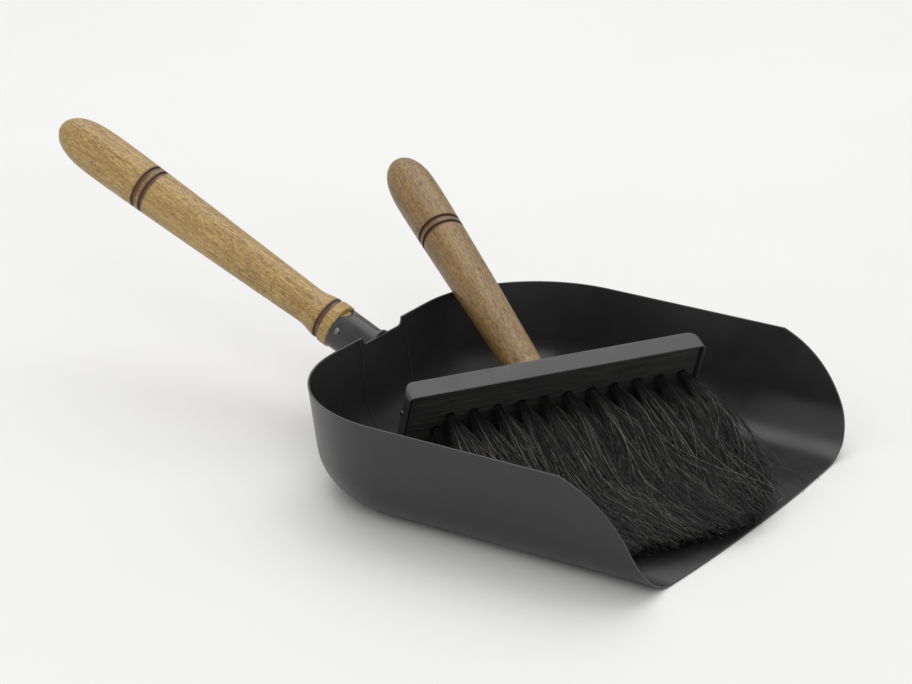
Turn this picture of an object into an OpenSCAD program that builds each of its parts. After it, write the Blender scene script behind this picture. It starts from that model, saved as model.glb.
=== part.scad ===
// Hearth-style dustpan with a matching brush laid in it.
// Frame: origin at the middle of the pan's flat underside, +X from the handle to the lip, +Z up.

/* [Pan] */
// Length of the pan from the back rim to the middle of the lip, mm
pan_len = 238.5; // [210:0.5:290]
// Width of the pan across the side rims, mm
pan_w = 242; // [215:1:290]
// Height of the back and side rims above the floor, mm
pan_h = 61; // [56:0.5:73]
// Thickness of the pan's sheet steel, mm
sheet = 1.0; // [0.8:0.05:1.3]
// Radius of the rear corners at the rim, seen from above, mm
corner_r = 75; // [62:1:78]
// Radius of the bend between floor and walls, mm
fillet_r = 31; // [26:0.5:33]
// Outward lean of the walls, degrees
wall_lean = 7.5; // [5:0.5:9]
// How far the side rims stop behind the lip's corners, mm
front_back = 47.4; // [38:0.2:56]
// How far the middle of the lip stands in front of its corners, mm
lip_bow = 2.8; // [1.5:0.1:4.5]

/* [Pan back] */
// Half the distance between the two welded seams in the back, mm
seam_y = 22; // [20.5:0.5:26]
// Half the width of the notch in the back rim, mm
notch_y = 19.4; // [17:0.2:19.6]
// Depth of the notch in the back rim, mm
notch_depth = 4.2; // [3:0.2:7]
// Width of a seam's weld bead, mm
bead_w = 1.4; // [1:0.1:2]
// How far a weld bead stands proud of the sheet inside, mm
bead_proud = 0.5; // [0.3:0.05:0.8]
// Height at which the socket's axis meets the back, mm
socket_z = 42; // [41:0.5:43.5]
// Rise of the pan's handle from the horizontal, degrees
handle_rise = 23.4; // [18:0.2:28]
// Length of the steel socket behind the back, mm
socket_len = 32.5; // [28:0.5:40]

/* [Handles] */
// Outside diameter of the steel sockets, mm
socket_d = 24.7; // [22:0.1:26]
// Wall thickness of the steel sockets, mm
socket_wall = 1.5; // [1:0.1:2]
// Largest diameter of a wooden handle, mm
belly_d = 28.4; // [26:0.2:34]
// Smallest diameter of a wooden handle, mm
neck_d = 21.4; // [20:0.2:23.4]
// Length of wood from the collar's groove to the butt end, mm
grip_len = 202.4; // [180:0.2:215]
// Distance from the butt end to the middle of the turned ring, mm
ring_back = 69.4; // [60:0.2:78]
// Depth of the turned grooves, mm
groove_depth = 1.0; // [0.6:0.1:1.4]
// Gap between a wooden tenon and the socket around it, mm
tenon_gap = 0.3; // [0.2:0.05:0.5]

/* [Brush head] */
// Length of the brush head, mm
head_len = 180; // [160:0.5:184]
// Height of the brush head, mm
head_h = 57; // [50:0.5:60]
// Depth of the steel cap, back to mouth, mm
cap_depth = 13.2; // [10.5:0.1:14]
// Thickness of the cap's sheet steel, mm
cap_sheet = 1.0; // [0.8:0.05:1.2]
// Radius of the cap's rear corners, seen from above, mm
cap_corner_r = 10; // [7:0.2:10.2]
// Gap between the tuft block and the cap's top, bottom and ends, mm
block_gap = 1.8; // [0.6:0.1:2.2]
// Distance of the block's face behind the cap's mouth, mm
block_inset = 1.5; // [0.8:0.1:2.5]
// Spacing of the tufts along a row, mm
tuft_pitch = 14.2; // [12.5:0.1:14.4]
// Spacing between the rows of tufts, mm
row_pitch = 8; // [7:0.1:9]
// How far the middle of the rows lies below the middle of the block, mm
row_drop = 4.5; // [0:0.5:6]
// How far the middle of the rows lies from the middle of the head, to the far end, mm
row_shift = 5; // [0:0.5:5.5]
// Diameter of a tuft's hole, mm
tuft_d = 6.6; // [5:0.1:7]
// Length of the bristles from the block's face to the tips, mm
bristle_len = 138; // [115:1:146]
// Size of the brush's handle against the pan's
brush_grip_size = 0.96; // [0.9:0.01:1.02]
// Diameter of the steel stud that carries the handle, mm
stud_d = 8; // [6:0.5:10]
// Length of the stud behind the head, mm
stud_len = 45; // [30:1:60]

/* [Brush as it lies in the pan] */
// Turn of the brush from the pan's length, seen from above, degrees
brush_yaw = 31.5; // [26:0.5:36]
// Rise of the brush's handle from the horizontal, degrees
brush_tilt = 22; // [20:0.25:24]
// How far the brush's length passes from the middle of the pan's far rear corner, mm
brush_off_corner = 12.3; // [6:0.1:18]
// Clearance between the head's lower corners and the pan's sheet, mm
head_clear = 0.5; // [0.4:0.05:1.5]
// Gap between the brush's handle and the rim that it rests on, mm
rest_gap = 0.4; // [0.2:0.05:0.6]

/* [Hidden] */
$fn = 64;

black_steel = [0.09, 0.09, 0.1];
grey_steel = [0.3, 0.3, 0.31];
beech = [0.76, 0.6, 0.38];
brown_beech = [0.62, 0.46, 0.29];
hair = [0.06, 0.05, 0.05];

// Pan
back_x = -pan_len / 2;
lip_x = pan_len / 2;
lip_corner_x = lip_x - lip_bow;
side_y = pan_w / 2;
corner_x = back_x + corner_r;
corner_y = side_y - corner_r;
lip_half = side_y - fillet_r - 5;
bow_r = (lip_half * lip_half + lip_bow * lip_bow) / (2 * lip_bow);
// centre of the bend between wall and floor, measured from the rim
bend_u = -(fillet_r + (pan_h - fillet_r) * sin(wall_lean)) / cos(wall_lean);
over = 1; // how far a cutting solid runs past what it cuts
lap = 4; // how far the bend's disc runs into the straight parts of the outline
front_steps = 24;
notch_corner_r = min(5.5, notch_depth - 0.2);

// Sockets and handles
socket_r = socket_d / 2;
tenon_r = socket_r - socket_wall - tenon_gap;
tenon_len = 18;
socket_base = [back_x + (pan_h - socket_z) * tan(wall_lean), 0, socket_z];
weld_step = 1.1;
weld_wide = 1.6;
collar_len = 7;
collar_r = socket_r + 0.85;
collar_round = 1.2;
groove_w = 2.6;
flare_len = 12;
flare_r = socket_r + 0.3;
belly_back = 40;
butt_power = 3.4;
belly_power = 1.25;
ring_groove_w = 2.2;
ring_bead_w = 3.2;
pin_r = 1.1;
pin_gap = 0.15;
pin_len = 7;
pin_head_r = 1.9;
pin_head_h = 0.9;
pin_back = 4; // from the wood's shoulder to the pin
pan_pin_turn = -68; // around the socket from its top, negative towards the near side

// Brush head
half_len = head_len / 2;
half_h = head_h / 2;
cap_edge_r = 2;
cap_end_r = 3;
block_half_y = half_len - cap_sheet - block_gap;
block_half_z = half_h - cap_sheet - block_gap;
block_face = cap_depth - block_inset;
block_corner_r = cap_corner_r - cap_sheet - block_gap;
tufts = 11; // in each row
tuft_depth = 6.4;
tuft_gap = 0.2;
anchor = [1.2, 3, 0.5];
nail_r = 0.8;
nail_len = 8;
nail_head_r = 1.9;
nail_x = cap_depth * 0.64;
nail_z = head_h * 0.24;
stud_r = stud_d / 2;
stud_gap = 0.25;
brush_butt = brush_grip_size * (collar_len + groove_w + grip_len); // from the head's back to the butt end

// The brush rests with its handle on the rounded far corner of the rim and its head just off the floor.
ahead = [cos(brush_yaw), -sin(brush_yaw)];
aside = [sin(brush_yaw), cos(brush_yaw)];
corner_xy = [corner_x, corner_y];
rim_xy = corner_xy - brush_off_corner * aside
    - sqrt(corner_r * corner_r - brush_off_corner * brush_off_corner) * ahead;
rim_cross = sqrt(1 - pow(brush_off_corner / corner_r, 2));
tilt_share = cos(brush_tilt) * rim_cross
    / sqrt(pow(sin(brush_tilt), 2) + pow(cos(brush_tilt) * rim_cross, 2));
// level distance from the head's back to the rim, with the head at height z, for a grip of radius r
function level_run(z, r) = (pan_h - z + (r + rest_gap) / tilt_share) / tan(brush_tilt);
function belly_run(z) = level_run(z, brush_grip_size * belly_d / 2) / cos(brush_tilt);
function rim_run(z) = level_run(z, brush_grip_size * grip_r((brush_butt - belly_run(z)) / brush_grip_size));
function head_place(z) = rim_xy + rim_run(z) * ahead;
// height of the sheet's upper face across the pan, with the bends at its sides
bend_y = side_y - (pan_h - fillet_r) * tan(wall_lean) - fillet_r / cos(wall_lean);
function sheet_top(y) = fillet_r - sqrt(pow(fillet_r - sheet, 2)
    - pow(min(max(0, abs(y) - bend_y), fillet_r - sheet), 2));
// height of the head's back when its lower front corners just clear the sheet
edge_ahead = cap_depth * cos(brush_tilt) - half_h * sin(brush_tilt);
edge_below = cap_depth * sin(brush_tilt) + half_h * cos(brush_tilt);
function corner_y_at(z, s) = (head_place(z) + edge_ahead * ahead + s * (half_len - cap_end_r) * aside)[1];
function cleared(z) = head_clear + edge_below
    + max(sheet_top(corner_y_at(z, -1)), sheet_top(corner_y_at(z, 1)));
function settled(z, tries) = tries == 0 ? z : settled(cleared(z), tries - 1);
head_z = settled(sheet + head_clear + edge_below, 6);
head_xy = head_place(head_z);

// Bristles, as flat layers that bend down to the floor
layer_t = 3.2;
layer_root = row_pitch - 0.8; // height of a layer where it leaves the block
layer_gap = 0.3;
floor_gap = 0.3;
root_half = block_half_y - 2.4;
tip_near = 24;
tip_far = 70;

// Radius of a wooden grip at a distance from its butt end
function grip_r(t) = t < belly_back
    ? belly_d / 2 * sqrt(max(0, 1 - pow(1 - t / belly_back, butt_power)))
    : t < grip_len - flare_len
    ? belly_d / 2 - (belly_d - neck_d) / 2
        * pow((t - belly_back) / (grip_len - flare_len - belly_back), belly_power)
    : neck_d / 2 + (flare_r - neck_d / 2)
        * (1 - cos(180 * min(1, (t - grip_len + flare_len) / flare_len))) / 2;

// Distances from the butt end at which the grip's outline is drawn, closer at the rounded end
grip_stops = concat(
    [for (i = [0:9]) belly_back * pow(i / 10, 2)],
    [for (i = [0:11]) belly_back + (grip_len - flare_len - belly_back) * i / 12],
    [for (i = [0:6]) grip_len - flare_len + flare_len * i / 6]);

function bezier(a, b, c, d, t) = pow(1 - t, 3) * a + 3 * pow(1 - t, 2) * t * b
    + 3 * (1 - t) * t * t * c + pow(t, 3) * d;

// ---------- pan ----------

// Everything inside the pan's outline once it is set back by a distance
module pan_outline(inset, reach, top) {
    bend = fillet_r - inset;
    bend_end = [bend_u + bend * cos(wall_lean), fillet_r - bend * sin(wall_lean)];
    wall_top = bend_end + (top - bend_end[1]) * [tan(wall_lean), 1];
    polygon([[-reach, inset], [bend_u, inset], [bend_u, fillet_r], bend_end, wall_top, [-reach, top]]);
    intersection() {
        translate([bend_u, fillet_r]) circle(bend);
        polygon([[bend_u - lap, fillet_r + lap], [bend_u - lap, -fillet_r],
            [bend_u + 2 * fillet_r, -fillet_r], [bend_u + 2 * fillet_r, fillet_r + lap
                - 2 * fillet_r * tan(wall_lean)]]);
    }
}

// The bent sheet from the rim down to the floor, seen along the wall
module sheet_section(thick = sheet) difference() {
    pan_outline(0, corner_r, pan_h);
    pan_outline(thick, corner_r + over, pan_h + over);
}

module back_strip(y, width, thick = sheet)
    translate([back_x, y, 0]) rotate([90, 0, 180]) linear_extrude(width) sheet_section(thick);

module notch() translate([back_x - over, 0, pan_h - notch_depth]) rotate([90, 0, 90])
    linear_extrude(20) {
        translate([-notch_y, notch_corner_r]) square([2 * notch_y, notch_depth]);
        translate([notch_corner_r - notch_y, 0]) square([2 * (notch_y - notch_corner_r), notch_depth]);
        for (s = [-1, 1]) translate([s * (notch_y - notch_corner_r), notch_corner_r])
            circle(notch_corner_r);
    }

// Side view of the pan, with the curved front edge of the walls
module front_cut() translate([0, side_y + over, 0]) rotate([90, 0, 0])
    linear_extrude(pan_w + 2 * over) polygon(concat(
        [[lip_x + over, -over], [back_x - over, -over], [back_x - over, pan_h + over],
            [lip_corner_x - front_back, pan_h + over]],
        [for (i = [0:front_steps]) bezier([lip_corner_x - front_back, pan_h],
            [lip_corner_x - front_back * 0.28, pan_h * 0.8],
            [lip_corner_x - front_back * 0.1, pan_h * 0.33], [lip_corner_x, sheet], i / front_steps)],
        [[lip_x + over, sheet]]));

module pan_shell() color(black_steel) intersection() {
    union() {
        for (s = [0, 1]) mirror([0, s, 0]) {
            translate([corner_x, corner_y, 0]) rotate([0, 0, 90]) rotate_extrude(angle = 90)
                translate([corner_r, 0]) sheet_section();
            translate([corner_x, side_y, 0]) rotate([90, 0, 90])
                linear_extrude(lip_x - corner_x) sheet_section();
            back_strip(seam_y + bead_w / 2, corner_y - seam_y - bead_w / 2);
        }
        translate([corner_x, -corner_y, 0]) cube([lip_x - corner_x, 2 * corner_y, sheet]);
    }
    front_cut();
    translate([lip_x - bow_r, 0, -over]) cylinder(r = bow_r, h = pan_h + 2 * over);
}

module pan_back_panel() color(black_steel) difference() {
    back_strip(bead_w / 2 - seam_y, 2 * seam_y - bead_w);
    notch();
}

module seam() back_strip(seam_y - bead_w / 2, bead_w, sheet + bead_proud);
module pan_seam_near() color(black_steel) mirror([0, 1, 0]) seam();
module pan_seam_far() color(black_steel) seam();

// Frame of the socket: +Z runs back along its axis from the middle of the joint with the wall
module at_socket() translate(socket_base) rotate([0, handle_rise - 90, 0]) children();

// Everything between two planes parallel to the back wall, measured out from its outer face
module behind_wall(near, far) translate(socket_base) rotate([0, -wall_lean, 0])
    translate([-far, -2 * socket_r, -2 * socket_r]) cube([far - near, 4 * socket_r, 4 * socket_r]);

module socket_bar(r, from, to) at_socket() translate([0, 0, from]) cylinder(r = r, h = to - from);

module pin_axis(turn) rotate([0, 0, turn]) rotate([0, 90, 0]) children();

module pan_socket() color(grey_steel) difference() {
    intersection() {
        socket_bar(socket_r, -socket_r, socket_len);
        behind_wall(0, 2 * socket_len);
    }
    socket_bar(socket_r - socket_wall, -2 * socket_r, socket_len + over);
    at_socket() translate([0, 0, socket_len - pin_back]) pin_axis(pan_pin_turn)
        cylinder(r = pin_r + pin_gap, h = 2 * socket_r);
}

module pan_socket_weld() color(grey_steel) difference() {
    for (i = [0, 1]) intersection() {
        socket_bar(socket_r + weld_wide * (1 - i / 2), -socket_r, socket_r + weld_wide);
        behind_wall(i * weld_step, (i + 1) * weld_step);
    }
    socket_bar(socket_r, -2 * socket_r, socket_len);
}

// A turned wooden grip along +Z that ends in its rounded butt, with z = 0 at the end of its flare
module grip() rotate_extrude() difference() {
    polygon(concat([[0, 0]], [for (i = [len(grip_stops) - 1:-1:0])
        [grip_r(grip_stops[i]), grip_len - grip_stops[i]]]));
    for (s = [-1, 1])
        translate([grip_r(ring_back) - groove_depth,
            grip_len - ring_back + s * (ring_bead_w + ring_groove_w) / 2 - ring_groove_w / 2])
            square([2 * groove_depth, ring_groove_w]);
}

// A shallow round head on z = 0
module dome(r, h) {
    ball_r = (r * r + h * h) / (2 * h);
    intersection() {
        translate([0, 0, h - ball_r]) sphere(ball_r);
        translate([0, 0, -h]) cylinder(r = r, h = 2 * h);
    }
}

module pin_hole(outer_r, turn) pin_axis(turn) translate([0, 0, outer_r - pin_len - pin_gap])
    cylinder(r = pin_r + pin_gap, h = pin_len);

// A round-headed pin driven in through a socket, with its head on the socket's outside
module pin(outer_r, turn) difference() {
    pin_axis(turn) {
        translate([0, 0, outer_r - pin_len]) cylinder(r = pin_r, h = pin_len + pin_head_h / 2);
        translate([0, 0, outer_r]) dome(pin_head_r, pin_head_h);
    }
    difference() {
        translate([0, 0, -pin_head_r - over]) cylinder(r = outer_r, h = 2 * (pin_head_r + over));
        pin_axis(turn) cylinder(r = pin_r, h = 2 * outer_r);
    }
}

// A handle along +Z from its collar at z = 0: collar, groove and grip
module turned_handle() {
    rotate_extrude() {
        square([collar_r - collar_round, collar_len]);
        translate([0, collar_round]) square([collar_r, collar_len - 2 * collar_round]);
        for (z = [collar_round, collar_len - collar_round])
            translate([collar_r - collar_round, z]) circle(collar_round);
    }
    translate([0, 0, collar_len]) cylinder(r = flare_r - groove_depth, h = groove_w);
    translate([0, 0, collar_len + groove_w]) grip();
}

module pan_handle() color(beech) at_socket() difference() {
    union() {
        translate([0, 0, socket_len - tenon_len]) cylinder(r = tenon_r, h = tenon_len + over);
        translate([0, 0, socket_len]) turned_handle();
    }
    translate([0, 0, socket_len - pin_back]) pin_hole(socket_r, pan_pin_turn);
}

module pan_handle_pin() color(grey_steel) at_socket()
    translate([0, 0, socket_len - pin_back]) pin(socket_r, pan_pin_turn);

// ---------- brush ----------

// Frame of the head: origin in the middle of its back, +X towards the tips, +Y to the far end
module at_head() translate([head_xy[0], head_xy[1], head_z]) rotate([0, brush_tilt, -brush_yaw]) children();
// The same place without the tilt
module at_head_level() translate([head_xy[0], head_xy[1], 0]) rotate([0, 0, -brush_yaw]) children();
// Frame of the brush's handle: +Z runs back from the head
module at_grip() at_head() rotate([0, -90, 0]) children();

module round_rect(x, y, r) {
    translate([-x, r - y]) square([2 * x, 2 * (y - r)]);
    translate([r - x, -y]) square([2 * (x - r), 2 * y]);
    for (a = [-1, 1], b = [-1, 1]) translate([a * (x - r), b * (y - r)]) circle(r);
}

// A strip that is square in front and has two rounded corners at the back
module round_back(depth, half, r, front) intersection() {
    translate([0, -half]) square([depth + front, 2 * half]);
    union() {
        translate([r, -half]) square([depth + front, 2 * half]);
        translate([0, r - half]) square([depth + front, 2 * (half - r)]);
        for (s = [-1, 1]) translate([r, s * (half - r)]) circle(r);
    }
}

module cap_form(inset, front) intersection() {
    translate([inset, 0, -half_h]) linear_extrude(head_h)
        round_back(cap_depth - inset, half_len - inset, cap_corner_r - inset, front);
    rotate([90, 0, 90]) linear_extrude(cap_depth + front)
        round_rect(half_len - inset, half_h - inset, cap_end_r - inset);
    translate([inset, half_len, 0]) rotate([90, 0, 0]) linear_extrude(head_len)
        round_back(cap_depth - inset, half_h - inset, cap_edge_r - inset, front);
}

module nail_place(s) translate([nail_x, s * half_len, nail_z]) rotate([-90 * s, 0, 0]) children();

module brush_cap() color(grey_steel) at_head() difference() {
    cap_form(0, 0);
    cap_form(cap_sheet, over);
    for (s = [-1, 1]) nail_place(s) translate([0, 0, -3]) cylinder(r = nail_r + pin_gap, h = 6);
}

module tuft_places(row) {
    stagger = (row % 2 == 0 ? 1 : -1) * tuft_pitch / 4;
    for (i = [0:tufts - 1])
        translate([block_face, (i - (tufts - 1) / 2) * tuft_pitch + stagger + row_shift,
            (1.5 - row) * row_pitch - row_drop])
            rotate([0, 90, 0]) children();
}

module brush_block() color(black_steel) at_head() difference() {
    translate([cap_sheet, 0, -block_half_z]) linear_extrude(2 * block_half_z)
        round_back(block_face - cap_sheet, block_half_y, block_corner_r, 0);
    for (row = [0:3]) tuft_places(row) translate([0, 0, -tuft_depth]) cylinder(d = tuft_d, h = tuft_depth + over);
    for (s = [-1, 1]) nail_place(s) translate([0, 0, -nail_len - pin_gap])
        cylinder(r = nail_r + pin_gap, h = nail_len);
}

module nail(s) at_head() nail_place(s) {
    translate([0, 0, -nail_len]) cylinder(r = nail_r, h = nail_len + pin_head_h / 2);
    intersection() {
        dome(nail_head_r, pin_head_h);
        cylinder(r = nail_head_r, h = nail_head_r);
    }
}
module cap_nail_near() color(grey_steel) nail(-1);
module cap_nail_far() color(grey_steel) nail(1);

module tuft_anchors() color(grey_steel) at_head() for (row = [0:3])
    tuft_places(row) translate([-anchor[2] / 2, -anchor[1] / 2, -tuft_depth]) cube([anchor[2], anchor[1], anchor[0]]);

// Side view of one layer of bristles: along the head's axis, then bending down onto the floor
function tilted(x, z) = [x * cos(brush_tilt) + z * sin(brush_tilt),
    head_z - x * sin(brush_tilt) + z * cos(brush_tilt)];

module bristle_layer(row) {
    z0 = (1.5 - row) * row_pitch - row_drop;
    low = sheet + floor_gap + (3 - row) * (layer_t + layer_gap);
    start = block_face + tuft_gap;
    root_top = tilted(start, z0 + layer_root / 2);
    root_low = tilted(start, z0 - layer_root / 2);
    bend_low = root_low[0] + (root_low[1] - low) / tan(brush_tilt);
    bend_top = root_top[0] + (root_top[1] - low - layer_t) / tan(brush_tilt);
    intersection() {
        translate([0, half_len + 30, 0]) rotate([90, 0, 0]) linear_extrude(head_len + 60)
            polygon([root_top, [bend_top, low + layer_t], [bristle_len + 30, low + layer_t],
                [bristle_len + 30, low], [bend_low, low], root_low]);
        linear_extrude(pan_h) polygon([[0, -root_half], [0, root_half], [35, root_half + 4],
            [bristle_len * 0.72, tip_far + 10], [bristle_len * 0.85, tip_far - 6], [bristle_len * 0.96, 36],
            [bristle_len, 8], [bristle_len * 0.96, -tip_near], [bristle_len * 0.6, -tip_near - 20],
            [40, -root_half + 16]]);
    }
}

module bristle_row(row) color(hair) {
    at_head_level() bristle_layer(row);
    at_head() tuft_places(row) translate([0, 0, anchor[0] + tuft_gap - tuft_depth])
        cylinder(d = tuft_d - 2 * tuft_gap, h = tuft_depth - anchor[0] + over);
}
module bristle_row_1() bristle_row(0);
module bristle_row_2() bristle_row(1);
module bristle_row_3() bristle_row(2);
module bristle_row_4() bristle_row(3);

// A stud welded to the head's back, inside the handle
module brush_stud() color(grey_steel) at_grip() cylinder(r = stud_r, h = stud_len);

module brush_stud_weld() color(grey_steel) at_grip() difference() {
    cylinder(r1 = stud_r + weld_wide, r2 = stud_r + weld_wide / 3, h = weld_step);
    translate([0, 0, -over]) cylinder(r = stud_r, h = weld_step + 2 * over);
}

module brush_handle() color(brown_beech) at_grip() difference() {
    scale(brush_grip_size) turned_handle();
    translate([0, 0, -over]) cylinder(r = stud_r + stud_gap, h = stud_len + stud_gap + over);
    translate([0, 0, -over]) cylinder(r = stud_r + weld_wide + stud_gap, h = weld_step + stud_gap + over);
}

pan_shell();
pan_back_panel();
pan_seam_near();
pan_seam_far();
pan_socket();
pan_socket_weld();
pan_handle();
pan_handle_pin();
brush_cap();
brush_block();
cap_nail_near();
cap_nail_far();
tuft_anchors();
bristle_row_1();
bristle_row_2();
bristle_row_3();
bristle_row_4();
brush_stud();
brush_stud_weld();
brush_handle();
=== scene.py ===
"""Looks of a dustpan and hand brush: finishes for the steel and wood, and the brush's bristles."""
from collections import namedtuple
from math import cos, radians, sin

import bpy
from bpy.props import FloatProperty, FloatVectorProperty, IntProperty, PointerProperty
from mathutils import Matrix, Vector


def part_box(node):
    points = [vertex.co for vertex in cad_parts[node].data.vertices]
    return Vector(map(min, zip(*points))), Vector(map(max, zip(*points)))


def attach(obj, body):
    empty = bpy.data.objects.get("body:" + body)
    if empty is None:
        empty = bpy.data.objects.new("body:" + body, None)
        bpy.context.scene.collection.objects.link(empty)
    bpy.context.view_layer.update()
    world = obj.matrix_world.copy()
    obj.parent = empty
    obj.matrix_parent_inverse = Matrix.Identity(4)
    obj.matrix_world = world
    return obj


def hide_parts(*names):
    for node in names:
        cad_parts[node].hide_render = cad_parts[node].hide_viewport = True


bl_info = {
    "name": "Dustpan and Brush",
    "version": (1, 0, 0),
    "blender": (4, 5, 0),
    "location": "View3D > Sidebar > Dustpan",
    "description": "Finishes a dustpan and its brush, and sets them on a pale floor",
    "category": "Object",
}

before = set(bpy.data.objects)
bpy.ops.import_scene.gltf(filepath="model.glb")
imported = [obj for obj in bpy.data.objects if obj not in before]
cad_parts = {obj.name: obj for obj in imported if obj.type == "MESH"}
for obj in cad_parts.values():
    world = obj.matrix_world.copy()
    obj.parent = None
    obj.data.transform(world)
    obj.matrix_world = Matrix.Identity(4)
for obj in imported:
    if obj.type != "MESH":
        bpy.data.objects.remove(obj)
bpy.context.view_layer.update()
MM = 0.001
TURN = 6.2832

# Groups of CAD nodes by finish
COATED = ("pan_shell", "pan_back_panel", "pan_seam_near", "pan_seam_far")
SOCKETS = ("pan_socket", "pan_socket_weld")
STEEL = ("pan_handle_pin", "cap_nail_near", "cap_nail_far", "tuft_anchors", "brush_stud",
         "brush_stud_weld")
ROWS = ("bristle_row_1", "bristle_row_2", "bristle_row_3", "bristle_row_4")

# How the pan's handle rises, and how the brush lies in the pan
PAN_RISE = radians(23.4)
BRUSH_YAW = radians(31.5)
BRUSH_TILT = radians(22)


def headed(yaw, tilt):
    """The level direction at a yaw, lowered by a tilt."""
    return Vector((cos(yaw) * cos(tilt), -sin(yaw) * cos(tilt), -sin(tilt)))


# Where each body's handle points from its collar, and where the brush's tufts point
PAN_BUTT_WAY = -headed(0, PAN_RISE)
BRISTLE_WAY = headed(BRUSH_YAW, BRUSH_TILT)
BRUSH_BUTT_WAY = -BRISTLE_WAY


def from_srgb(red, green, blue):
    """A colour given in 0 to 255 display values, as the linear colour that shaders use."""
    def channel(value):
        value /= 255
        return value / 12.92 if value <= 0.04045 else ((value + 0.055) / 1.055) ** 2.4
    return channel(red), channel(green), channel(blue)


# ---- Node helpers ----

def add(tree, kind, inputs=None, **settings):
    """A new node, with its settings, and its inputs by name or number as values or links."""
    made = tree.nodes.new(kind)
    for key, value in settings.items():
        setattr(made, key, value)
    for key, value in (inputs or {}).items():
        if isinstance(value, bpy.types.NodeSocket):
            tree.links.new(value, made.inputs[key])
        else:
            made.inputs[key].default_value = value
    return made


def maths(tree, operation, *values):
    """The result of a Math node."""
    return add(tree, "ShaderNodeMath", dict(enumerate(values)), operation=operation).outputs[0]


def plus(tree, first, second):
    return maths(tree, "ADD", first, second)


def minus(tree, first, second):
    return maths(tree, "SUBTRACT", first, second)


def times(tree, first, second):
    return maths(tree, "MULTIPLY", first, second)


def fused(tree, first, second, added):
    """first times second, plus added."""
    return maths(tree, "MULTIPLY_ADD", first, second, added)


def vectors(tree, operation, *values):
    """The result of a Vector Math node, a number for DOT_PRODUCT and LENGTH."""
    made = add(tree, "ShaderNodeVectorMath", dict(enumerate(values)), operation=operation)
    return made.outputs[1 if operation in ("DOT_PRODUCT", "LENGTH") else 0]


def scaled(tree, vector, factor):
    """A vector times a number."""
    return add(tree, "ShaderNodeVectorMath", {0: vector, 3: factor}, operation="SCALE").outputs[0]


def mixed(tree, factor, first, second):
    """A mix of two colours."""
    made = add(tree, "ShaderNodeMix", data_type="RGBA")
    for key, value in ((0, factor), (6, first), (7, second)):
        if isinstance(value, bpy.types.NodeSocket):
            tree.links.new(value, made.inputs[key])
        else:
            made.inputs[key].default_value = value if key == 0 else (*value, 1)[:4]
    return made.outputs[2]


def ramp(tree, value, low, high, to_low=0.0, to_high=1.0):
    """A number mapped smoothly from low..high to to_low..to_high."""
    return add(tree, "ShaderNodeMapRange", {0: value, 1: low, 2: high, 3: to_low, 4: to_high},
               interpolation_type="SMOOTHSTEP").outputs[0]


def noise(tree, vector, scale, detail=3.0, roughness=0.55):
    """A noise value at a scale per metre."""
    return add(tree, "ShaderNodeTexNoise", {"Vector": vector, "Scale": scale, "Detail": detail,
                                            "Roughness": roughness}).outputs[0]


def new_group(name, kind, sockets_in, sockets_out):
    """An empty node group with its named inputs and outputs: (tree, input sockets, output node)."""
    tree = bpy.data.node_groups.new(name, kind)
    for label, socket_type, default in sockets_in:
        socket = tree.interface.new_socket(label, in_out="INPUT", socket_type=socket_type)
        if default is not None:
            socket.default_value = default
    for label, socket_type in sockets_out:
        tree.interface.new_socket(label, in_out="OUTPUT", socket_type=socket_type)
    return tree, tree.nodes.new("NodeGroupInput").outputs, tree.nodes.new("NodeGroupOutput").inputs


def use(tree, group, inputs):
    """A shader group placed in a material, with its own values."""
    made = tree.nodes.new("ShaderNodeGroup")
    made.node_tree = group
    for key, value in inputs.items():
        if isinstance(value, bpy.types.NodeSocket):
            tree.links.new(value, made.inputs[key])
        else:
            made.inputs[key].default_value = value
    return made.outputs


# ---- Shared effects ----

def edge_wear():
    """Edges of a sheet or block: a mask of the edge, and normals that round it."""
    name = "Edge Wear"
    if name in bpy.data.node_groups:
        return bpy.data.node_groups[name]
    tree, given, result = new_group(
        name, "ShaderNodeTree",
        [("Vector", "NodeSocketVector", None), ("Radius", "NodeSocketFloat", 0.5 * MM),
         ("Patchiness", "NodeSocketFloat", 0.4)],
        [("Edge", "NodeSocketFloat"), ("Normal", "NodeSocketVector")])
    sharpest, softest, patch_scale = 0.22, 0.02, 90.0
    rounded = add(tree, "ShaderNodeBevel", {"Radius": given["Radius"]}, samples=6).outputs[0]
    flat = tree.nodes.new("ShaderNodeNewGeometry").outputs["Normal"]
    turned = minus(tree, 1.0, vectors(tree, "DOT_PRODUCT", rounded, flat))
    mask = ramp(tree, turned, softest, sharpest)
    patches = ramp(tree, noise(tree, given["Vector"], patch_scale), 0.35, 0.65)
    kept = minus(tree, 1.0, times(tree, given["Patchiness"], patches))
    tree.links.new(times(tree, mask, kept), result["Edge"])
    tree.links.new(rounded, result["Normal"])
    return tree


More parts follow.
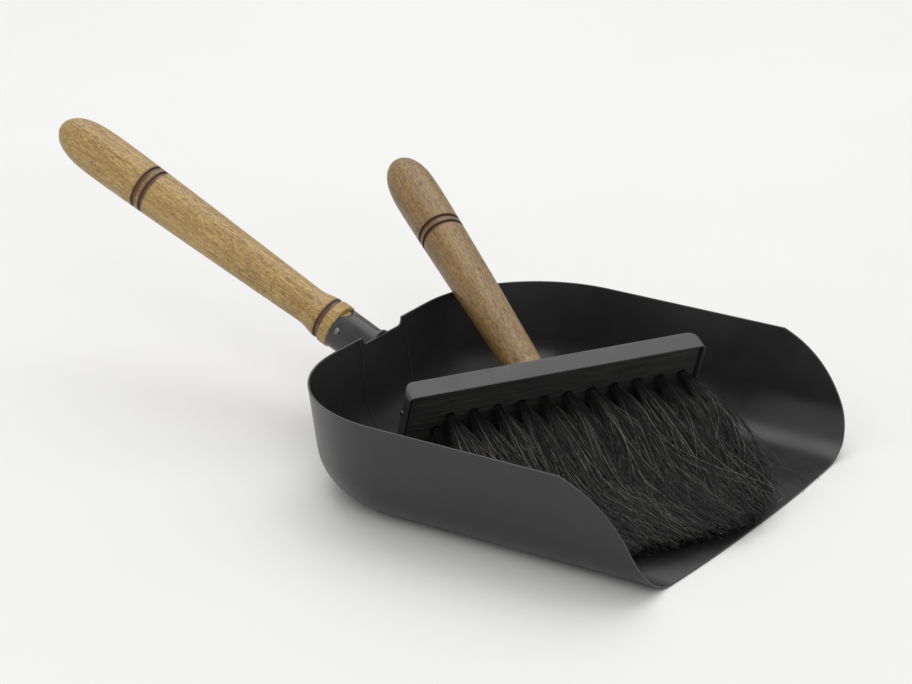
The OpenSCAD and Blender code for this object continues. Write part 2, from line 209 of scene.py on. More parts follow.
def coat_texture():
    """The fine orange peel of a baked coat, with faint dust and handling marks."""
    name = "Coat Texture"
    if name in bpy.data.node_groups:
        return bpy.data.node_groups[name]
    tree, given, result = new_group(
        name, "ShaderNodeTree",
        [("Vector", "NodeSocketVector", None), ("Peel Scale", "NodeSocketFloat", 900.0)],
        [("Peel", "NodeSocketFloat"), ("Dust", "NodeSocketFloat"), ("Marks", "NodeSocketFloat")])
    broad_share, speck_scale, cloud_scale, mark_scale = 0.25, 420.0, 26.0, 38.0
    place = given["Vector"]
    fine = noise(tree, place, given["Peel Scale"], 2.0, 0.5)
    broad = noise(tree, place, times(tree, given["Peel Scale"], broad_share), 2.0, 0.5)
    tree.links.new(fused(tree, broad, 0.6, fine), result["Peel"])
    # specks of dust, gathered in clouds
    cells = add(tree, "ShaderNodeTexVoronoi", {"Vector": place, "Scale": speck_scale})
    specks = ramp(tree, cells.outputs["Distance"], 0.11, 0.04)
    clouds = ramp(tree, noise(tree, place, cloud_scale), 0.52, 0.7)
    tree.links.new(times(tree, specks, clouds), result["Dust"])
    tree.links.new(ramp(tree, noise(tree, place, mark_scale, 5.0, 0.6), 0.35, 0.7), result["Marks"])
    return tree


def drawn_out(tree, vector, share):
    """A vector whose pattern is drawn out along Z: the smaller the share, the longer the marks."""
    return add(tree, "ShaderNodeMapping", {0: vector, 3: (1.0, 1.0, share)}).outputs[0]


def turned_wood():
    """Straight-grained hardwood turned to a handle. Z of the vector runs along the grain."""
    name = "Turned Wood"
    if name in bpy.data.node_groups:
        return bpy.data.node_groups[name]
    tree, given, result = new_group(
        name, "ShaderNodeTree",
        [("Vector", "NodeSocketVector", None), ("Pale", "NodeSocketColor", None),
         ("Middle", "NodeSocketColor", None), ("Deep", "NodeSocketColor", None),
         ("Fleck", "NodeSocketColor", None)],
        [("Color", "NodeSocketColor"), ("Height", "NodeSocketFloat"),
         ("Open Grain", "NodeSocketFloat")])
    place = given["Vector"]
    rings_per_metre, wander_size = 210.0, 0.017
    pith = (0.021, 0.034, 0.0)

    # growth rings around a pith that lies off the handle's axis
    along = drawn_out(tree, place, 0.12)
    wander = add(tree, "ShaderNodeTexNoise", {"Vector": along, "Scale": 44.0, "Detail": 3.0})
    centred = vectors(tree, "SUBTRACT", wander.outputs["Color"], (0.5, 0.5, 0.5))
    bent = vectors(tree, "ADD", along, scaled(tree, centred, wander_size))
    flat = vectors(tree, "MULTIPLY", vectors(tree, "ADD", bent, pith), (1.0, 1.0, 0.0))
    rings = maths(tree, "FRACT", times(tree, vectors(tree, "LENGTH", flat), rings_per_metre))
    streaky = ramp(tree, noise(tree, drawn_out(tree, place, 0.09), 85.0), 0.3, 0.65, 0.25, 1.0)
    ring = times(tree, maths(tree, "POWER", rings, 2.0), streaky)

    # long streaks, and short fine flecks that come in patches
    long_way = drawn_out(tree, place, 0.045)
    streak = ramp(tree, noise(tree, long_way, 260.0, 4.0, 0.65), 0.32, 0.7)
    fibre = noise(tree, long_way, 1500.0, 3.0, 0.6)
    fleck = ramp(tree, noise(tree, drawn_out(tree, place, 0.16), 1500.0, 2.0, 0.5), 0.52, 0.64)
    where = ramp(tree, noise(tree, long_way, 120.0, 2.0), 0.35, 0.62)
    fleck = times(tree, fleck, fused(tree, where, 0.55, 0.45))
    broad = ramp(tree, noise(tree, place, 22.0, 2.0), 0.3, 0.7)
    # the mottle of cut pores
    mottle = noise(tree, drawn_out(tree, place, 0.38), 1500.0, 3.0, 0.7)

    ground = fused(tree, streak, 0.65, times(tree, broad, 0.3))
    tone = mixed(tree, ground, given["Pale"], given["Middle"])
    for amount, colour in ((times(tree, ring, 0.42), "Deep"),
                           (ramp(tree, fibre, 0.38, 0.66, 0.0, 0.6), "Deep"),
                           (ramp(tree, mottle, 0.44, 0.62, 0.0, 0.62), "Deep"),
                           (ramp(tree, mottle, 0.30, 0.44, 0.35, 0.0), "Pale"),
                           (times(tree, fleck, 0.7), "Fleck")):
        tone = mixed(tree, amount, tone, given[colour])
    tree.links.new(tone, result["Color"])
    tree.links.new(fused(tree, fibre, 0.35, times(tree, fleck, -0.8)), result["Height"])
    tree.links.new(maths(tree, "MAXIMUM", fleck, times(tree, ring, 0.5)), result["Open Grain"])
    return tree


def burnt_groove():
    """The band that a wire burns into a turned groove."""
    name = "Burnt Groove"
    if name in bpy.data.node_groups:
        return bpy.data.node_groups[name]
    tree, given, result = new_group(
        name, "ShaderNodeTree",
        [("Vector", "NodeSocketVector", None), ("Place", "NodeSocketFloat", 0.0),
         ("Half Width", "NodeSocketFloat", 1.2 * MM), ("Fade", "NodeSocketFloat", 0.8 * MM)],
        [("Burn", "NodeSocketFloat")])
    wobble_scale, wobble_size = 160.0, 1.2 * MM
    along = add(tree, "ShaderNodeSeparateXYZ", {0: given["Vector"]}).outputs[2]
    uneven = minus(tree, noise(tree, given["Vector"], wobble_scale), 0.5)
    wobble = times(tree, uneven, wobble_size)
    distance = maths(tree, "ABSOLUTE", plus(tree, minus(tree, along, given["Place"]), wobble))
    outer = plus(tree, given["Half Width"], given["Fade"])
    tree.links.new(ramp(tree, distance, outer, given["Half Width"]), result["Burn"])
    return tree


# ---- Finishes ----

def new_material(name):
    """A material with an empty Principled shader: (material, tree, shader's inputs)."""
    made = bpy.data.materials.new(name)
    made.use_nodes = True
    tree = made.node_tree
    tree.nodes.clear()
    shader = tree.nodes.new("ShaderNodeBsdfPrincipled")
    out = tree.nodes.new("ShaderNodeOutputMaterial")
    tree.links.new(shader.outputs[0], out.inputs["Surface"])
    return made, tree, shader.inputs


def surface_place(tree):
    """Where on the object the shaded point is, in metres."""
    return tree.nodes.new("ShaderNodeTexCoord").outputs["Object"]


def finish_bump(tree, shader, height, strength, depth, normal=None):
    """A Bump node that feeds the shader's normal."""
    inputs = {"Height": height, "Strength": strength, "Distance": depth}
    if normal is not None:
        inputs["Normal"] = normal
    tree.links.new(add(tree, "ShaderNodeBump", inputs).outputs[0], shader["Normal"])


# One coat of paint. marks, dust and edge are how much each shows, roughness spreads upwards
# with the handling marks, and bump and depth are those of the orange peel.
Paint = namedtuple("Paint", "peel_scale edge_radius patchiness marks dust dust_colour edge "
                            "edge_colour spread bump depth")
SATIN_BLACK = Paint(900.0, 0.5 * MM, 0.35, 0.5, 0.3, from_srgb(120, 118, 114), 0.5,
                    from_srgb(112, 112, 112), 0.07, 0.12, 0.12 * MM)
THIN_GLOSS = Paint(600.0, 0.4 * MM, 0.5, 1.0, 0.0, from_srgb(150, 148, 144), 0.7,
                   from_srgb(150, 149, 146), 0.12, 0.3, 0.2 * MM)
DULL_BLACK = Paint(1100.0, 0.9 * MM, 0.5, 0.6, 0.4, from_srgb(150, 148, 144), 0.25,
                   from_srgb(120, 120, 120), 0.1, 0.2, 0.15 * MM)


def painted_steel(name, paint, dark, rubbed, roughness):
    """Painted steel: dark, paler where it has been handled, dusty, and worn at its edges."""
    made, tree, shader = new_material(name)
    place = surface_place(tree)
    wear = use(tree, edge_wear(), {"Vector": place, "Radius": paint.edge_radius,
                                   "Patchiness": paint.patchiness})
    coat = use(tree, coat_texture(), {"Vector": place, "Peel Scale": paint.peel_scale})
    tone = mixed(tree, times(tree, coat["Marks"], paint.marks), dark, rubbed)
    tone = mixed(tree, times(tree, coat["Dust"], paint.dust), tone, paint.dust_colour)
    tone = mixed(tree, times(tree, wear["Edge"], paint.edge), tone, paint.edge_colour)
    tree.links.new(tone, shader["Base Color"])
    tree.links.new(fused(tree, coat["Marks"], paint.spread, roughness), shader["Roughness"])
    finish_bump(tree, shader, coat["Peel"], paint.bump, paint.depth, wear["Normal"])
    return made


def toned(colour, factor):
    """A colour times a number."""
    return tuple(factor * channel for channel in colour)


def coated_sheet(look):
    """Satin black coat baked on sheet steel, rubbed a little at its raw edges."""
    dark = tuple(look.coat_colour)
    return painted_steel("powder_coat", SATIN_BLACK, dark, toned(dark, 1.5), look.coat_roughness)


def coated_tube():
    """The same coat laid thin and glossy on the tube, with light wear at its edges."""
    return painted_steel("socket_steel", THIN_GLOSS, from_srgb(38, 38, 38), from_srgb(56, 56, 55),
                         0.24)


def painted_strip(look):
    """The dull grey-black paint on the brush's steel cap."""
    dark = tuple(look.cap_colour)
    return painted_steel("cap_steel", DULL_BLACK, dark, toned(dark, 1.35), 0.42)


def stained_block():
    """The brush's wooden block, stained black, with its grain just showing."""
    made, tree, shader = new_material("block")
    place = surface_place(tree)
    turned = add(tree, "ShaderNodeMapping", {0: place, 2: (0.0, 0.0, BRUSH_YAW)}).outputs[0]
    along = add(tree, "ShaderNodeMapping", {0: turned, 3: (1.0, 0.06, 1.0)}).outputs[0]
    grain = noise(tree, along, 900.0, 4.0, 0.65)
    wear = use(tree, edge_wear(), {"Vector": place, "Radius": 0.6 * MM, "Patchiness": 0.6})
    tone = mixed(tree, ramp(tree, grain, 0.35, 0.7), from_srgb(34, 34, 34), from_srgb(54, 53, 51))
    tone = mixed(tree, times(tree, wear["Edge"], 0.35), tone, from_srgb(92, 84, 74))
    tree.links.new(tone, shader["Base Color"])
    tree.links.new(ramp(tree, grain, 0.3, 0.7, 0.48, 0.68), shader["Roughness"])
    finish_bump(tree, shader, grain, 0.35, 0.3 * MM, wear["Normal"])
    return made


def drawn_steel():
    """Bare drawn steel, dulled, of the pin, the nails, the anchors and the stud."""
    made, tree, shader = new_material("pin_steel")
    scratch = noise(tree, surface_place(tree), 2200.0, 4.0, 0.7)
    tone = mixed(tree, scratch, from_srgb(92, 92, 94), from_srgb(140, 140, 138))
    tree.links.new(tone, shader["Base Color"])
    shader["Metallic"].default_value = 1.0
    tree.links.new(ramp(tree, scratch, 0.3, 0.7, 0.22, 0.42), shader["Roughness"])
    finish_bump(tree, shader, scratch, 0.2, 0.05 * MM)
    return made


BURNT = from_srgb(72, 44, 28)
# The two woods, each as pale, middle, deep and fleck
TAN_WOOD = [from_srgb(*c) for c in ((202, 173, 108), (174, 142, 80), (126, 93, 45), (84, 58, 28))]
BROWN_WOOD = [from_srgb(*c) for c in ((166, 134, 80), (136, 105, 57), (96, 69, 35), (60, 41, 21))]


def burnt_bands(look, size):
    """Each burnt band on a handle: place from the butt, half width, fade and strength."""
    ring = -look.ring_back * size
    step = look.ring_step / 2 * size
    collar = -(look.grip_length + look.collar_groove / 2) * size
    return ((ring, 2.2 * MM, 1.6 * MM, 0.45), (ring - step, 1.1 * MM, 1.4 * MM, 0.85),
            (ring + step, 1.1 * MM, 1.4 * MM, 0.85), (collar, 1.3 * MM, 1.4 * MM, 0.85))


def waxed_wood(name, node, way, size, colours, look):
    """A turned handle in waxed wood. way points along the handle from its collar to its butt."""
    made, tree, shader = new_material(name)
    turn = Vector((0, 0, 1)).rotation_difference(way).to_euler("XYZ")
    place = add(tree, "ShaderNodeMapping", {0: surface_place(tree), 1: tuple(axis_end(node, way)),
                                            2: tuple(turn)}, vector_type="TEXTURE").outputs[0]
    labels = ("Pale", "Middle", "Deep", "Fleck")
    tones = {label: (*colour, 1) for label, colour in zip(labels, colours)}
    wood = use(tree, turned_wood(), {"Vector": place, **tones})
    tone = wood["Color"]
    for spot, half, fade, strength in burnt_bands(look, size):
        burn = use(tree, burnt_groove(), {"Vector": place, "Place": spot, "Half Width": half * size,
                                          "Fade": fade * size})
        tone = mixed(tree, times(tree, burn["Burn"], strength), tone, BURNT)
    tree.links.new(tone, shader["Base Color"])
    tree.links.new(ramp(tree, wood["Open Grain"], 0.0, 1.0, 0.40, 0.62), shader["Roughness"])
    shader["Coat Weight"].default_value = 0.12
    shader["Coat Roughness"].default_value = 0.35
    finish_bump(tree, shader, wood["Height"], 0.35, 0.25 * MM)
    return made


def black_hair(look):
    """Dark bristles, each strand with its own tone, with painted shade where it leaves its hole."""
    made, tree, shader = new_material("bristle")
    tone = add(tree, "ShaderNodeAttribute", attribute_name="strand_tone").outputs["Fac"]
    share = add(tree, "ShaderNodeAttribute", attribute_name="strand_share").outputs["Fac"]
    dark, middle, pale = (tuple(c) for c in (look.hair_dark, look.hair_middle, look.hair_pale))
    colour = mixed(tree, ramp(tree, tone, 0.25, 0.8), dark, middle)
    colour = mixed(tree, ramp(tree, tone, 0.72, 1.0, 0.0, 0.9), colour, pale)
    # painted shade: near its root each strand is mixed towards the darkest hair colour, standing in
    # for the shadow at the hole
    colour = mixed(tree, ramp(tree, share, 0.04, 0.22, 0.8, 0.0), colour, dark)
    tree.links.new(colour, shader["Base Color"])
    tree.links.new(ramp(tree, tone, 0.0, 1.0, 0.62, 0.42), shader["Roughness"])
    shader["Specular IOR Level"].default_value = 0.3
    return made


# ---- Shapes that the frame gives ----

def axis_end(node, along):
    """The middle of a turned piece's far end, from its own mesh and the direction it lies in."""
    along = along.normalized()
    points = [v.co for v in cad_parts[node].data.vertices]
    reach = max(p.dot(along) for p in points)
    side = along.cross(Vector((0, 0, 1))).normalized()
    lift = side.cross(along)
    end = reach * along
    for way in (side, lift):
        spread = [p.dot(way) for p in points]
        end += (min(spread) + max(spread)) / 2 * way
    return end


def finish_nodes(names, material):
    """The same finish on several CAD nodes."""
    for name in names:
        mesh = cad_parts[name].data
        mesh.materials.clear()
        mesh.materials.append(material)


def head_place():
    """The brush head's middle, from the block's box."""
    low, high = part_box("brush_block")
    return (low + high) / 2


def block_depth():
    """The block's depth from its back to its face, from its own mesh."""
    reach = [v.co.dot(BRISTLE_WAY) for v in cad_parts["brush_block"].data.vertices]
    return max(reach) - min(reach)


# ---- Bristles ----

# How the strands grow, in metres unless the comment says a share
STRAY_ABOVE = 0.97        # strands whose random share is above this are strays
STRAY_SPREAD = 1.3        # how much farther a stray's tip lies from its tuft's, as a share
STRAY_LIFT = 3 * MM       # how much higher a stray lies
TIP_SHORTEST = -24 * MM   # the most that a strand falls short of its tuft's tip
TIP_BACK, TIP_AHEAD = -5 * MM, 7 * MM
TIP_SWAYS = (15 * MM, 11 * MM)  # two random sways, each to either side
TIP_FAN = 2.0             # tips spread across by this many times the strand's place in its hole
SPLAY_FAN, SPLAY = 2.2, 8 * MM  # the same where the strand leaves its hole, and at random
OUT_SHARE = 0.30          # how far a strand runs straight out of its hole, of its length
BACK_SHARE = 0.3          # how far back from its tip the last bend starts, of its length
SWING = 18 * MM           # how far to either side the last bend swings
WAVES, WAVE_SIZE = 6.0, 4.8 * MM      # to the sides, in radians over the strand
RIPPLES, RIPPLE_SIZE = 5.0, 0.6 * MM  # up and down, the same
DROOP = 6 * MM            # how far the tip sags below its straight way
MEETING = 10 * MM         # how softly a strand meets the floor
ROOT_SHARE = 0.2          # the share of a strand that stays true to its hole
TIP_TAPER = -0.55         # how much thinner the tip is, as a share

# The pan's hollow, in the pan's own frame: where its bend starts at each side, how quickly the
# bend rises, and the farthest a strand goes past the lip and out to each wall
BEND_START = 84 * MM
BEND_RISE = 18.0
STRAND_REACH = 127.5 * MM
STRAND_SIDE = 107.5 * MM
REACH_SOFTNESS, SIDE_SOFTNESS = 8 * MM, 10 * MM


def bristle_tree():
    """The rule that grows one row of tufts. It starts from a mesh with a point at each hole."""
    name = "Tufted Row"
    if name in bpy.data.node_groups:
        return bpy.data.node_groups[name]
    tree, given, result = new_group(
        name, "GeometryNodeTree",
        [("Geometry", "NodeSocketGeometry", None), ("Strands", "NodeSocketInt", 200),
         ("Points", "NodeSocketInt", 10), ("Strand Width", "NodeSocketFloat", 0.3 * MM),
         ("Hole Radius", "NodeSocketFloat", 2 * MM), ("Tilt", "NodeSocketFloat", 0.38),
         ("Length", "NodeSocketFloat", 130 * MM), ("Layer Low", "NodeSocketFloat", 1.5 * MM),
         ("Layer High", "NodeSocketFloat", 4 * MM), ("Head X", "NodeSocketFloat", 0.0),
         ("Head Y", "NodeSocketFloat", 20 * MM), ("Yaw", "NodeSocketFloat", 0.55),
         ("Seed", "NodeSocketInt", 1), ("Material", "NodeSocketMaterial", None)],
        [("Geometry", "NodeSocketGeometry")])

    def attribute(label, vector=False):
        return add(tree, "GeometryNodeInputNamedAttribute", {"Name": label},
                   data_type="FLOAT_VECTOR" if vector else "FLOAT").outputs[0]

    def chance(low, high, draw):
        """A random number for each strand. Every draw has a number of its own."""
        seed = plus(tree, given["Seed"], float(draw))
        made = add(tree, "FunctionNodeRandomValue", {2: low, 3: high, 8: seed}, data_type="FLOAT")
        return made.outputs[1]

    def keep(flow, label, value, vector=False):
        made = add(tree, "GeometryNodeStoreNamedAttribute", {"Geometry": flow, "Name": label},
                   data_type="FLOAT_VECTOR" if vector else "FLOAT", domain="POINT")
        tree.links.new(value, made.inputs["Value"])
        return made.outputs[0]

    def joined(x, y, z):
        return add(tree, "ShaderNodeCombineXYZ", {0: x, 1: y, 2: z}).outputs[0]

    def squared(value):
        return times(tree, value, value)

    def step(flow, kind, inputs, **settings):
        """The geometry that one node makes of another's."""
        return add(tree, kind, {"Geometry": flow, **inputs}, **settings).outputs[0]

    holes = add(tree, "GeometryNodeMeshToPoints", {"Mesh": given["Geometry"]}).outputs[0]
    flow = step(holes, "GeometryNodeDuplicateElements", {"Amount": given["Strands"]},
                domain="POINT")

    # a place in the hole: across the head and up its face
    turn = chance(0.0, TURN, 1)
    reach = times(tree, maths(tree, "SQRT", chance(0.0, 1.0, 2)), given["Hole Radius"])
    across = times(tree, reach, maths(tree, "COSINE", turn))
    upward = times(tree, reach, maths(tree, "SINE", turn))
    tilt_sin = maths(tree, "SINE", given["Tilt"])
    tilt_cos = maths(tree, "COSINE", given["Tilt"])
    in_hole = joined(times(tree, upward, tilt_sin), across, times(tree, upward, tilt_cos))
    place = tree.nodes.new("GeometryNodeInputPosition").outputs[0]
    flow = keep(flow, "root", vectors(tree, "ADD", place, in_hole), True)

    # a tip about the tuft's own, and a few strays
    stray = maths(tree, "GREATER_THAN", chance(0.0, 1.0, 3), STRAY_ABOVE)
    wild = fused(tree, stray, STRAY_SPREAD, 1.0)
    short = times(tree, chance(0.0, 1.0, 4), chance(0.0, 1.0, 5))
    ahead = times(tree, chance(TIP_BACK, TIP_AHEAD, 6), wild)
    sway = plus(tree, *(chance(-most, most, 7 + i) for i, most in enumerate(TIP_SWAYS)))
    off_tip = joined(fused(tree, short, TIP_SHORTEST, ahead),
                     fused(tree, across, TIP_FAN, times(tree, sway, wild)), 0.0)
    flow = keep(flow, "tip", vectors(tree, "ADD", attribute("tuft_tip", True), off_tip), True)
    lay = add(tree, "ShaderNodeMapRange", {0: chance(0.0, 1.0, 9), 3: given["Layer Low"],
                                           4: given["Layer High"]}).outputs[0]
    flow = keep(flow, "lay", fused(tree, stray, STRAY_LIFT, lay))
    flow = keep(flow, "swing", chance(-1.0, 1.0, 10))
    flow = keep(flow, "phase", chance(0.0, TURN, 11))
    flow = keep(flow, "strand_tone", chance(0.0, 1.0, 12))
    flow = keep(flow, "splay", fused(tree, across, SPLAY_FAN, chance(-SPLAY, SPLAY, 13)))

    line = add(tree, "GeometryNodeCurvePrimitiveLine", {"End": (0.0, 0.0, 0.01)}).outputs[0]
    line = add(tree, "GeometryNodeResampleCurve", {"Curve": line, "Count": given["Points"]})
    strands = add(tree, "GeometryNodeInstanceOnPoints",
                  {"Points": flow, "Instance": line.outputs[0]})
    strands = step(strands.outputs[0], "GeometryNodeRealizeInstances", {})

    # level path of a strand: straight out of its hole, then across to its tip
    share = tree.nodes.new("GeometryNodeSplineParameter").outputs[0]
    strands = keep(strands, "strand_share", share)
    root, tip = attribute("root", True), attribute("tip", True)
    root_x, root_y, root_z = add(tree, "ShaderNodeSeparateXYZ", {0: root}).outputs
    tip_x, tip_y, _ = add(tree, "ShaderNodeSeparateXYZ", {0: tip}).outputs
    out_x = plus(tree, root_x, times(tree, given["Length"], OUT_SHARE))
    out_y = plus(tree, root_y, plus(tree, attribute("tuft_aim"), attribute("splay")))
    curl = fused(tree, attribute("swing"), SWING, attribute("tuft_curl"))
    back_x = minus(tree, tip_x, times(tree, given["Length"], BACK_SHARE))
    back_y = minus(tree, tip_y, curl)
    rest = minus(tree, 1.0, share)
    weights = (maths(tree, "POWER", rest, 3.0),
               times(tree, times(tree, share, 3.0), maths(tree, "POWER", rest, 2.0)),
               times(tree, times(tree, rest, 3.0), maths(tree, "POWER", share, 2.0)),
               maths(tree, "POWER", share, 3.0))

    def bezier(*values):
        total = times(tree, weights[0], values[0])
        for weight, value in zip(weights[1:], values[1:]):
            total = fused(tree, weight, value, total)
        return total

    wave = maths(tree, "SINE", fused(tree, share, WAVES, attribute("phase")))
    wave = times(tree, times(tree, wave, squared(share)), WAVE_SIZE)
    x = bezier(root_x, out_x, back_x, tip_x)
    y = plus(tree, bezier(root_y, out_y, back_y, tip_y), wave)

    # kept inside the pan's walls and close to its lip, in the pan's own frame
    yaw_sin = maths(tree, "SINE", given["Yaw"])
    yaw_cos = maths(tree, "COSINE", given["Yaw"])
    turned_x = fused(tree, x, yaw_cos, times(tree, y, yaw_sin))
    turned_y = minus(tree, times(tree, y, yaw_cos), times(tree, x, yaw_sin))
    row_x = plus(tree, given["Head X"], turned_x)
    row_y = plus(tree, given["Head Y"], turned_y)
    row_x = maths(tree, "SMOOTH_MIN", row_x, STRAND_REACH, REACH_SOFTNESS)
    row_y = maths(tree, "SMOOTH_MAX", row_y, -STRAND_SIDE, SIDE_SOFTNESS)
    row_y = maths(tree, "SMOOTH_MIN", row_y, STRAND_SIDE, SIDE_SOFTNESS)
    off_x = minus(tree, row_x, given["Head X"])
    off_y = minus(tree, row_y, given["Head Y"])
    x = minus(tree, times(tree, off_x, yaw_cos), times(tree, off_y, yaw_sin))
    y = plus(tree, times(tree, off_x, yaw_sin), times(tree, off_y, yaw_cos))

    # height: down the tilt until the strand meets its place on the floor
    run = minus(tree, x, root_x)
    fall = times(tree, run, maths(tree, "DIVIDE", tilt_sin, tilt_cos))
    fall = fused(tree, squared(share), DROOP, fall)
    straight = minus(tree, root_z, fall)
    over = minus(tree, maths(tree, "ABSOLUTE", row_y), BEND_START)
    bend = times(tree, squared(maths(tree, "MAXIMUM", over, 0.0)), BEND_RISE)
    ripple = fused(tree, share, RIPPLES, times(tree, attribute("phase"), 2.0))
    ripple = times(tree, maths(tree, "SINE", ripple), share)
    ground = fused(tree, ripple, RIPPLE_SIZE, plus(tree, attribute("lay"), bend))
    z = maths(tree, "SMOOTH_MAX", straight, ground, MEETING)
    # a smooth maximum lifts both ends a little, so the root is brought back to its hole
    near_root = minus(tree, 1.0, ramp(tree, share, 0.0, ROOT_SHARE))
    z = add(tree, "ShaderNodeMix", {0: near_root, 2: z, 3: straight}, data_type="FLOAT").outputs[0]
    strands = step(strands, "GeometryNodeSetPosition", {"Position": joined(x, y, z)})

    # three-sided hairs that thin towards their tips
    radius = maths(tree, "DIVIDE", given["Strand Width"], 2.0)
    section = add(tree, "GeometryNodeCurvePrimitiveCircle", {"Resolution": 3, "Radius": radius})
    taper = fused(tree, maths(tree, "POWER", share, 2.0), TIP_TAPER, 1.0)
    hairs = add(tree, "GeometryNodeCurveToMesh",
                {"Curve": strands, "Profile Curve": section.outputs[0], "Scale": taper,
                 "Fill Caps": True}).outputs[0]
    hairs = step(hairs, "GeometryNodeSetShadeSmooth", {})
    hairs = step(hairs, "GeometryNodeRealizeInstances", {})
    hairs = step(hairs, "GeometryNodeSetMaterial", {"Material": given["Material"]})
    tree.links.new(hairs, result["Geometry"])
    return tree


# Where the tufts' tips lie, by place along the head from its near end to its far one:
# share of the head's half length, tip forward and across, sideways aim and curl of the tip, in mm
TIP_LINE = ((-0.85, 113, -60, -2, 6), (-0.6, 133, -42, 0, 9), (-0.35, 140, -26, 2, 10),
            (-0.1, 138, -5, 3, 9), (0.15, 138, 14, 5, 6), (0.4, 136, 32, 8, 0),
            (0.62, 126, 46, 11, -7), (0.8, 113, 55, 13, -13), (0.95, 100, 62, 15, -18))
# How far a row's tips move forward for each metre that the row lies above the middle
TIP_LEAD = 0.2
# The lowest row's strands lie this high: over the sheet, half a strand and the ripple
LOWEST = 2 * MM
# The random height of a row's strands, in layers
LAYER_OVERLAP = 1.4
FEWEST_FACES = 1000


def tip_values(share):
    """The tip line's values between its stations."""
    for (a, *low), (b, *high) in zip(TIP_LINE, TIP_LINE[1:]):
        if share <= b:
            t = max(0.0, (share - a) / (b - a))
            return [(1 - t) * u + t * v for u, v in zip(low, high)]
    return list(TIP_LINE[-1][1:])


def row_host(row, look, middle):
    """The mesh with a point at each tuft's hole of one row, in the head's level frame."""
    face = block_depth() / 2
    up = ((len(ROWS) - 1) / 2 - row) * look.row_pitch - look.row_drop
    stagger = (1 if row % 2 == 0 else -1) * look.tuft_pitch / 4 + look.row_shift
    points, tips, aims, curls = [], [], [], []
    half = look.head_length / 2
    for i in range(look.tufts):
        across = (i - (look.tufts - 1) / 2) * look.tuft_pitch + stagger
        points.append((face * cos(BRUSH_TILT) + up * sin(BRUSH_TILT), across,
                       middle.z - face * sin(BRUSH_TILT) + up * cos(BRUSH_TILT)))
        forward, side, aim, curl = (MM * v for v in tip_values(across / half))
        tips.append((forward + up * TIP_LEAD, side, 0.0))
        aims.append(aim)
        curls.append(curl)
    mesh = bpy.data.meshes.new(f"tuft_holes_{row + 1}")
    mesh.from_pydata(points, [], [])
    for label, kind, field, values in (
            ("tuft_tip", "FLOAT_VECTOR", "vector", [v for tip in tips for v in tip]),
            ("tuft_aim", "FLOAT", "value", aims), ("tuft_curl", "FLOAT", "value", curls)):
        mesh.attributes.new(label, kind, "POINT").data.foreach_set(field, values)
    return mesh


def set_inputs(modifier, values):
    """A Geometry Nodes modifier's inputs, by the name its tree gives them."""
    for item in modifier.node_group.interface.items_tree:
        if item.item_type == "SOCKET" and item.in_out == "INPUT" and item.name in values:
            modifier[item.identifier] = values[item.name]


def plain_mesh(host, name):
    """The evaluated object as a plain mesh object, with the host and its modifier gone."""
    bpy.context.view_layer.update()
    graph = bpy.context.evaluated_depsgraph_get()
    mesh = bpy.data.meshes.new_from_object(host.evaluated_get(graph), preserve_all_data_layers=True,
                                           depsgraph=graph)
    host.modifiers.clear()
    bpy.data.objects.remove(host)
    for label in ("root", "tip", "lay", "swing", "phase", "splay", "tuft_tip", "tuft_aim",
                  "tuft_curl"):
        if label in mesh.attributes:
            mesh.attributes.remove(mesh.attributes[label])
    mesh.name = name
    made = bpy.data.objects.new(name, mesh)
    bpy.context.scene.collection.objects.link(made)
    return made


# ---- Settings ----

class DUSTPAN_PG_finishes(bpy.types.PropertyGroup):
    """Colours and sizes of the finishes"""
    coat_colour: FloatVectorProperty(name="Coat", description="Black coat on the pan",
        subtype="COLOR", size=3, min=0, max=1, default=(0.0165, 0.0165, 0.0175))
    coat_roughness: FloatProperty(name="Coat Roughness", description="How dull the coat is",
        min=0.1, max=0.9, default=0.31, subtype="FACTOR")
    cap_colour: FloatVectorProperty(name="Cap", description="Paint on the brush's cap",
        subtype="COLOR", size=3, min=0, max=1, default=(0.035, 0.035, 0.035))
    ring_back: FloatProperty(name="Ring Place",
        description="From the butt's end to the ring's middle", default=69.4 * MM, min=0.05,
        max=0.09, unit="LENGTH")
    ring_step: FloatProperty(name="Ring Step", description="Between the ring's two grooves",
        default=5.4 * MM, min=0.003, max=0.009, unit="LENGTH")
    grip_length: FloatProperty(name="Grip Length",
        description="From the butt's end to the collar's groove", default=202.4 * MM, min=0.15,
        max=0.25, unit="LENGTH")
    collar_groove: FloatProperty(name="Collar Groove",
        description="Width of the groove at the collar", default=2.6 * MM, min=0.001, max=0.005,
        unit="LENGTH")
    brush_size: FloatProperty(name="Brush Handle Size",
        description="The brush's handle against the pan's", default=0.96, min=0.9, max=1.05,
        subtype="FACTOR")
    hair_dark: FloatVectorProperty(name="Dark Hair", description="Darkest bristles",
        subtype="COLOR", size=3, min=0, max=1, default=(0.003, 0.003, 0.003))
    hair_middle: FloatVectorProperty(name="Middle Hair", description="Most bristles",
        subtype="COLOR", size=3, min=0, max=1, default=(0.019, 0.0183, 0.0176))
    hair_pale: FloatVectorProperty(name="Pale Hair", description="Palest bristles",
        subtype="COLOR", size=3, min=0, max=1, default=(0.14, 0.134, 0.124))


